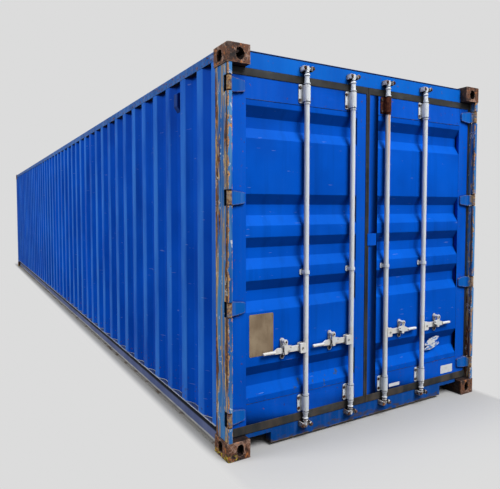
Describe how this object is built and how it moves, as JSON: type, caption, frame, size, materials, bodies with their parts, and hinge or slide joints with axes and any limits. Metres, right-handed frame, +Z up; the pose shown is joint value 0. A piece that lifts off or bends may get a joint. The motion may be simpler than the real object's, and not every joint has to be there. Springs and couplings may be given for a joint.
{
  "type": "shipping container",
  "caption": "Corrugated steel shipping container with double end doors, locking bars and cams, corner castings with twistlock slots, ply floor and gooseneck tunnel.",
  "frame": {"origin": "centre of the rectangle that the four bottom corner castings stand on, at ground level", "axes": "+X along the length towards the doors, +Y across, towards the right leaf as seen from outside the doors, +Z up"},
  "size_m": [12.192, 2.438, 2.591],
  "materials": {
    "casting_brown": "matt, rusted",
    "worn_post_blue": "worn, rust streaked",
    "gasket": "matt",
    "plywood": "worn varnish",
    "underframe": "matt",
    "gear_white": "galvanized and painted",
    "door_blue": "semi-gloss",
    "wall_blue": "semi-gloss"
  },
  "bodies": {
    "container_box": {"bottom_corner_castings": "casting_brown", "top_corner_castings": "casting_brown", "rear_corner_posts": "worn_post_blue", "rear_post_channels": "worn_post_blue", "hinge_lugs": "worn_post_blue", "hinge_pins": "worn_post_blue", "door_header": "door_blue", "door_sill": "door_blue", "front_corner_posts": "wall_blue", "front_header": "wall_blue", "front_sill": "wall_blue", "left_bottom_rail": "wall_blue", "right_bottom_rail": "wall_blue", "left_top_rail": "wall_blue", "right_top_rail": "wall_blue", "left_side_wall": "wall_blue", "right_side_wall": "wall_blue", "front_wall": "wall_blue", "roof": "wall_blue", "roof_end_plates": "wall_blue", "vent_covers": "wall_blue", "floor_panels": "plywood", "cross_members": "underframe", "tunnel_outriggers": "underframe", "gooseneck_tunnel": "underframe", "cam_keepers": "gear_white"},
    "left_door": {"left_door_frame": "door_blue", "left_door_panel": "door_blue", "left_door_gasket": "gasket", "left_hinge_blades": "door_blue", "left_bar_brackets": "gear_white", "left_handle_retainers": "gear_white"},
    "right_door": {"right_door_frame": "door_blue", "right_door_panel": "door_blue", "right_door_gasket": "gasket", "right_hinge_blades": "door_blue", "right_bar_brackets": "gear_white", "right_handle_retainers": "gear_white", "centre_cover_plate": "door_blue"},
    "left_outer_locking_bar": {"left_outer_locking_bar": "gear_white"},
    "left_outer_handle": {"left_outer_handle": "gear_white"},
    "left_outer_catch": {"left_outer_catch": "gear_white"},
    "left_inner_locking_bar": {"left_inner_locking_bar": "gear_white"},
    "left_inner_handle": {"left_inner_handle": "gear_white"},
    "left_inner_catch": {"left_inner_catch": "gear_white"},
    "right_outer_locking_bar": {"right_outer_locking_bar": "gear_white"},
    "right_outer_handle": {"right_outer_handle": "gear_white"},
    "right_outer_catch": {"right_outer_catch": "gear_white"},
    "right_inner_locking_bar": {"right_inner_locking_bar": "gear_white"},
    "right_inner_handle": {"right_inner_handle": "gear_white"},
    "right_inner_catch": {"right_inner_catch": "gear_white"}
  },
  "joints": [
    {"name": "left_door_hinge", "type": "hinge", "parent": "container_box", "child": "left_door", "pos_m": [6.076, -1.197, 1.306], "axis": [0, 0, -1], "range_deg": [0, 265]},
    {"name": "left_outer_locking_bar_turn", "type": "hinge", "parent": "left_door", "child": "left_outer_locking_bar", "pos_m": [6.066, -0.59, 1.3], "axis": [0, 0, -1], "range_deg": [-110, 0]},
    {"name": "left_outer_handle_lift", "type": "hinge", "parent": "left_outer_locking_bar", "child": "left_outer_handle", "pos_m": [6.06, -0.628, 0.642], "axis": [1, 0, 0], "range_deg": [-10, 0]},
    {"name": "left_outer_catch_swing", "type": "hinge", "parent": "left_door", "child": "left_outer_catch", "pos_m": [6.081, -0.77, 0.702], "axis": [1, 0, 0], "range_deg": [-90, 0]},
    {"name": "left_inner_locking_bar_turn", "type": "hinge", "parent": "left_door", "child": "left_inner_locking_bar", "pos_m": [6.066, -0.175, 1.3], "axis": [0, 0, -1], "range_deg": [-110, 0]},
    {"name": "left_inner_handle_lift", "type": "hinge", "parent": "left_inner_locking_bar", "child": "left_inner_handle", "pos_m": [6.06, -0.213, 0.642], "axis": [1, 0, 0], "range_deg": [-10, 0]},
    {"name": "left_inner_catch_swing", "type": "hinge", "parent": "left_door", "child": "left_inner_catch", "pos_m": [6.081, -0.355, 0.702], "axis": [1, 0, 0], "range_deg": [-90, 0]},
    {"name": "right_door_hinge", "type": "hinge", "parent": "container_box", "child": "right_door", "pos_m": [6.076, 1.197, 1.306], "axis": [0, 0, 1], "range_deg": [0, 265]},
    {"name": "right_outer_locking_bar_turn", "type": "hinge", "parent": "right_door", "child": "right_outer_locking_bar", "pos_m": [6.066, 0.59, 1.3], "axis": [0, 0, 1], "range_deg": [-110, 0]},
    {"name": "right_outer_handle_lift", "type": "hinge", "parent": "right_outer_locking_bar", "child": "right_outer_handle", "pos_m": [6.06, 0.628, 0.642], "axis": [-1, 0, 0], "range_deg": [-10, 0]},
    {"name": "right_outer_catch_swing", "type": "hinge", "parent": "right_door", "child": "right_outer_catch", "pos_m": [6.081, 0.77, 0.702], "axis": [-1, 0, 0], "range_deg": [-90, 0]},
    {"name": "right_inner_locking_bar_turn", "type": "hinge", "parent": "right_door", "child": "right_inner_locking_bar", "pos_m": [6.066, 0.175, 1.3], "axis": [0, 0, 1], "range_deg": [-110, 0]},
    {"name": "right_inner_handle_lift", "type": "hinge", "parent": "right_inner_locking_bar", "child": "right_inner_handle", "pos_m": [6.06, 0.213, 0.642], "axis": [-1, 0, 0], "range_deg": [-10, 0]},
    {"name": "right_inner_catch_swing", "type": "hinge", "parent": "right_door", "child": "right_inner_catch", "pos_m": [6.081, 0.355, 0.702], "axis": [-1, 0, 0], "range_deg": [-90, 0]}
  ]
}
